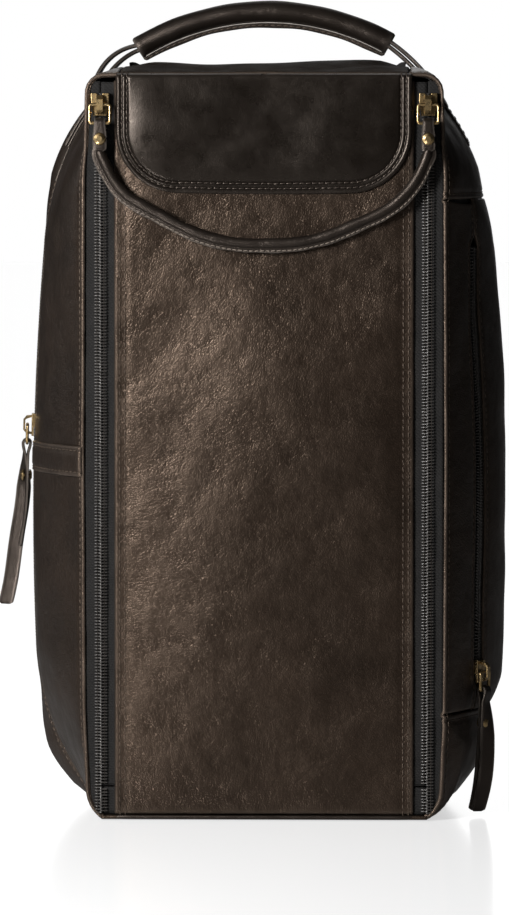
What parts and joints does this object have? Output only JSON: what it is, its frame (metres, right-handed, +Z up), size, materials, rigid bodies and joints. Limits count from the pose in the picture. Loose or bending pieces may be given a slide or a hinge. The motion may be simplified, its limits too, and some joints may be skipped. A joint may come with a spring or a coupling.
{
  "type": "golf shoe bag",
  "caption": "Free-standing leather golf shoe bag with a full-height front door zipped on both sides, a joined pull strap, two zipped side pockets and a padded carry handle.",
  "frame": {"origin": "middle of the flat base, on the floor plane", "axes": "+Z up, the front door faces -Y, +X to the right as seen from the front"},
  "size_m": [0.2437, 0.1385, 0.3964],
  "materials": {
    "body_leather": "fine pebble grain, brown-black, soft sheen",
    "yoke_leather": "smooth dark leather, padded",
    "trim_leather": "smooth dark brown leather, stitched edges",
    "textile": "woven black-brown textile",
    "zip_coil": "moulded zip coil, satin",
    "antique_brass": "antique brass, dulled",
    "core_cord": "twisted cotton cord",
    "stiffener": "plain stiff sheet"
  },
  "bodies": {
    "root": {"back_panel": "body_leather", "bottom_panel": "body_leather", "top_panel": "body_leather", "gusset_left_front": "body_leather", "gusset_left_rear": "body_leather", "gusset_right_shoulder": "body_leather", "gusset_right_lower": "body_leather", "pocket_panel_right": "body_leather", "gusset_right_rear": "body_leather", "base_board": "stiffener", "lining": "textile", "side_band_left": "body_leather", "seam_welt_left": "trim_leather", "front_sill": "body_leather", "front_tape_left_frame": "textile", "front_tape_right_frame": "textile", "front_row_left_frame": "zip_coil", "front_row_right_frame": "zip_coil", "side_tape_left": "textile", "side_tape_right": "textile", "side_rows_left": "zip_coil", "side_rows_right": "zip_coil", "pocket_bag_left": "textile", "pocket_bag_right": "textile", "shoulder_tab_left": "trim_leather", "shoulder_tab_right": "trim_leather"},
    "door": {"front_panel": "body_leather", "front_yoke": "yoke_leather", "door_lining": "textile", "front_tape_left_door": "textile", "front_tape_right_door": "textile", "front_row_left_door": "zip_coil", "front_row_right_door": "zip_coil"},
    "front_slider_left": {"front_slider_left": "antique_brass"},
    "front_slider_right": {"front_slider_right": "antique_brass"},
    "pull_strap": {"pull_strap": "trim_leather", "shackle_left": "antique_brass", "shackle_right": "antique_brass", "strap_rivets": "antique_brass"},
    "pocket_slider_left": {"side_slider_left": "antique_brass"},
    "pocket_pull_left": {"side_ring_left": "antique_brass", "side_pull_left": "trim_leather", "side_rivet_left": "antique_brass"},
    "pocket_slider_right": {"side_slider_right": "antique_brass"},
    "pocket_pull_right": {"side_ring_right": "antique_brass", "side_pull_right": "trim_leather", "side_rivet_right": "antique_brass"},
    "handle": {"handle_grip": "trim_leather", "handle_core": "core_cord", "handle_strap_left": "trim_leather", "handle_strap_right": "trim_leather"}
  },
  "joints": [
    {"name": "front_fold", "type": "hinge", "parent": "root", "child": "door", "pos_m": [0, -0.065, 0.016], "axis": [1, 0, 0], "range_deg": [0, 90]},
    {"name": "front_zip_left", "type": "slide", "parent": "door", "child": "front_slider_left", "axis": [0, 0, -1], "range_m": [0, 0.3155]},
    {"name": "front_zip_right", "type": "slide", "parent": "door", "child": "front_slider_right", "axis": [0, 0, -1], "range_m": [0, 0.3155]},
    {"name": "strap_swing", "type": "hinge", "parent": "front_slider_left", "child": "pull_strap", "pos_m": [-0.079, -0.0688, 0.346], "axis": [-1, 0, 0], "range_deg": [0, 174]},
    {"name": "pocket_zip_left", "type": "hinge", "parent": "root", "child": "pocket_slider_left", "pos_m": [1.06388, 0.001, 0.15749], "axis": [0, 1, 0], "range_deg": [-5.98, 4.82]},
    {"name": "pocket_pull_left_swing", "type": "hinge", "parent": "pocket_slider_left", "child": "pocket_pull_left", "pos_m": [-0.11841, 0.00078, 0.18809], "axis": [-0.0623, 0.9981, 0.0016], "range_deg": [0, 160]},
    {"name": "pocket_zip_right", "type": "hinge", "parent": "root", "child": "pocket_slider_right", "pos_m": [-2.30274, -0.037, 0.1551], "axis": [0, -1, 0], "range_deg": [0, 4.83]},
    {"name": "pocket_pull_right_swing", "type": "hinge", "parent": "pocket_slider_right", "child": "pocket_pull_right", "pos_m": [0.10702, -0.03852, 0.06988], "axis": [-0.4223, -0.9063, 0.0149], "range_deg": [0, 160]},
    {"name": "handle_tilt", "type": "hinge", "parent": "root", "child": "handle", "pos_m": [0, 0.003, 0.356], "axis": [1, 0, 0], "range_deg": [-25, 25], "stiffness_Nm_per_rad": 0.25, "deforming": ["handle_strap_left", "handle_strap_right"]}
  ],
  "couplings": [
    {"joint": "front_zip_left", "follows": "front_fold", "m_per_rad": 0.20085},
    {"joint": "front_zip_right", "follows": "front_fold", "m_per_rad": 0.20085},
    {"joint": "strap_swing", "follows": "front_fold", "ratio": 1.9333}
  ]
}
